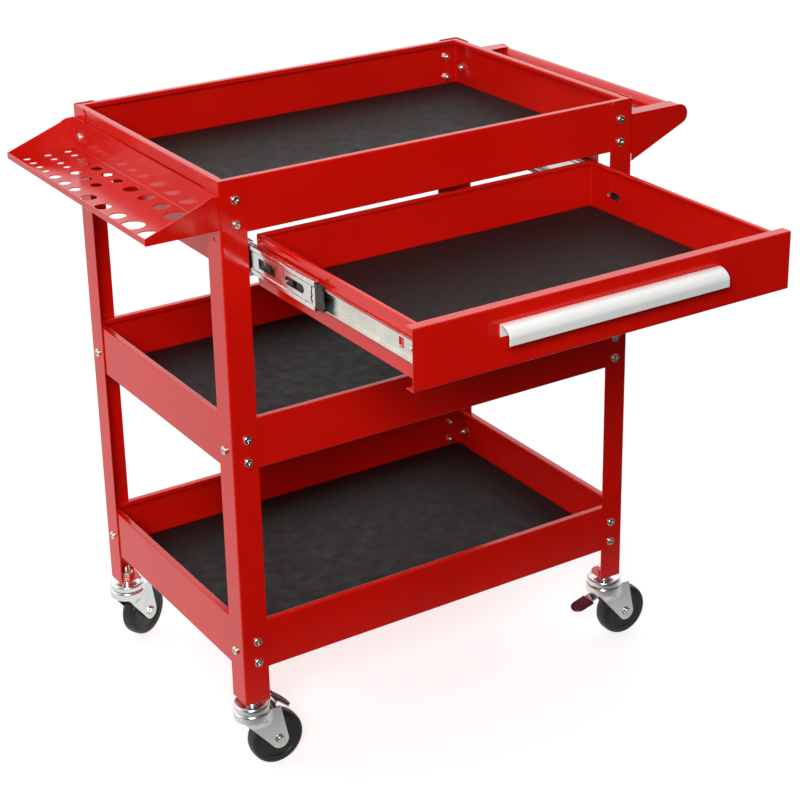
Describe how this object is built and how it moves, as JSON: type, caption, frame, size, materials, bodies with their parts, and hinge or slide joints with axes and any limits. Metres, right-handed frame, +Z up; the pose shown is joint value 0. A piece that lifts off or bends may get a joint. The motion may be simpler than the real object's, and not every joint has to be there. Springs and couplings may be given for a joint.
{
  "type": "rolling tool cart",
  "caption": "Rolling steel tool cart with open lipped trays on corner posts, a drawer on ball slides, a perforated tool holder, a push handle and swivel casters.",
  "frame": {"origin": "on the floor, under the middle of the whole cart as it stands with its drawer pulled out", "axes": "+X along the cart from the tool holder to the push handle, -Y towards the person who opens the drawer, +Z up"},
  "size_m": [0.813, 0.8141, 0.826],
  "materials": {
    "red_paint": "gloss powder coat, bright red",
    "mat_rubber": "matt black liner with a fine grain",
    "chrome_steel": "bright plated steel",
    "zinc_steel": "bright zinc plate, faintly yellow",
    "pull_aluminium": "satin anodised",
    "wheel_rubber": "satin black",
    "black_plastic": "satin black",
    "pedal_plastic": "satin dark maroon"
  },
  "bodies": {
    "cart": {"post_front_left": "red_paint", "post_front_right": "red_paint", "post_rear_left": "red_paint", "post_rear_right": "red_paint", "tray_top": "red_paint", "mat_top": "mat_rubber", "tray_middle": "red_paint", "mat_middle": "mat_rubber", "tray_bottom": "red_paint", "mat_bottom": "mat_rubber", "drawer_rail_left": "red_paint", "drawer_rail_right": "red_paint", "slide_outer_left": "chrome_steel", "slide_outer_right": "chrome_steel", "tool_holder": "red_paint", "handle_bracket_front": "red_paint", "handle_bracket_rear": "red_paint", "handle_tube": "red_paint", "caster_stem_front_left": "chrome_steel", "caster_stem_front_right": "chrome_steel", "caster_stem_rear_left": "chrome_steel", "caster_stem_rear_right": "chrome_steel", "caster_nut_front_left": "zinc_steel", "caster_nut_front_right": "zinc_steel", "caster_nut_rear_left": "zinc_steel", "caster_nut_rear_right": "zinc_steel"},
    "drawer": {"drawer_box": "red_paint", "drawer_front": "red_paint", "drawer_mat": "mat_rubber", "drawer_pull": "pull_aluminium", "pull_screw_left": "zinc_steel", "pull_screw_right": "zinc_steel", "slide_inner_left": "zinc_steel", "slide_inner_right": "zinc_steel"},
    "slide_left": {"slide_middle_left": "chrome_steel", "slide_buffer_left": "black_plastic"},
    "slide_right": {"slide_middle_right": "chrome_steel", "slide_buffer_right": "black_plastic"},
    "caster_front_left": {"caster_fork_front_left": "chrome_steel", "caster_axle_front_left": "zinc_steel", "caster_axle_nut_front_left": "zinc_steel"},
    "wheel_front_left": {"caster_wheel_front_left": "wheel_rubber"},
    "pedal_front_left": {"brake_pedal_front_left": "pedal_plastic"},
    "caster_front_right": {"caster_fork_front_right": "chrome_steel", "caster_axle_front_right": "zinc_steel", "caster_axle_nut_front_right": "zinc_steel"},
    "wheel_front_right": {"caster_wheel_front_right": "wheel_rubber"},
    "pedal_front_right": {"brake_pedal_front_right": "pedal_plastic"},
    "caster_rear_left": {"caster_fork_rear_left": "chrome_steel", "caster_axle_rear_left": "zinc_steel", "caster_axle_nut_rear_left": "zinc_steel"},
    "wheel_rear_left": {"caster_wheel_rear_left": "wheel_rubber"},
    "caster_rear_right": {"caster_fork_rear_right": "chrome_steel", "caster_axle_rear_right": "zinc_steel", "caster_axle_nut_rear_right": "zinc_steel"},
    "wheel_rear_right": {"caster_wheel_rear_right": "wheel_rubber"}
  },
  "joints": [
    {"name": "drawer_slide", "type": "slide", "parent": "cart", "child": "drawer", "axis": [0, -1, 0], "range_m": [-0.3515, 0]},
    {"name": "slide_left_extend", "type": "slide", "parent": "cart", "child": "slide_left", "axis": [0, -1, 0], "range_m": [-0.17575, 0]},
    {"name": "slide_right_extend", "type": "slide", "parent": "cart", "child": "slide_right", "axis": [0, -1, 0], "range_m": [-0.17575, 0]},
    {"name": "swivel_front_left", "type": "hinge", "parent": "cart", "child": "caster_front_left", "pos_m": [-0.293, -0.018, 0.1], "axis": [0, 0, 1], "continuous": true},
    {"name": "roll_front_left", "type": "hinge", "parent": "caster_front_left", "child": "wheel_front_left", "pos_m": [-0.261, -0.018, 0.038], "axis": [0, 1, 0], "continuous": true},
    {"name": "brake_front_left", "type": "hinge", "parent": "caster_front_left", "child": "pedal_front_left", "pos_m": [-0.263, -0.018, 0.081], "axis": [0, 1, 0], "range_deg": [0, 8]},
    {"name": "swivel_front_right", "type": "hinge", "parent": "cart", "child": "caster_front_right", "pos_m": [0.293, -0.018, 0.1], "axis": [0, 0, 1], "continuous": true},
    {"name": "roll_front_right", "type": "hinge", "parent": "caster_front_right", "child": "wheel_front_right", "pos_m": [0.325, -0.018, 0.038], "axis": [0, 1, 0], "continuous": true},
    {"name": "brake_front_right", "type": "hinge", "parent": "caster_front_right", "child": "pedal_front_right", "pos_m": [0.284, -0.018, 0.077], "axis": [0, 1, 0], "range_deg": [-10, 0]},
    {"name": "swivel_rear_left", "type": "hinge", "parent": "cart", "child": "caster_rear_left", "pos_m": [-0.293, 0.366, 0.1], "axis": [0, 0, 1], "continuous": true},
    {"name": "roll_rear_left", "type": "hinge", "parent": "caster_rear_left", "child": "wheel_rear_left", "pos_m": [-0.26475, 0.38102, 0.038], "axis": [-0.4695, 0.8829, 0], "continuous": true},
    {"name": "swivel_rear_right", "type": "hinge", "parent": "cart", "child": "caster_rear_right", "pos_m": [0.293, 0.366, 0.1], "axis": [0, 0, 1], "continuous": true},
    {"name": "roll_rear_right", "type": "hinge", "parent": "caster_rear_right", "child": "wheel_rear_right", "pos_m": [0.325, 0.366, 0.038], "axis": [0, 1, 0], "continuous": true}
  ],
  "couplings": [
    {"joint": "slide_left_extend", "follows": "drawer_slide", "ratio": 0.5},
    {"joint": "slide_right_extend", "follows": "drawer_slide", "ratio": 0.5}
  ]
}
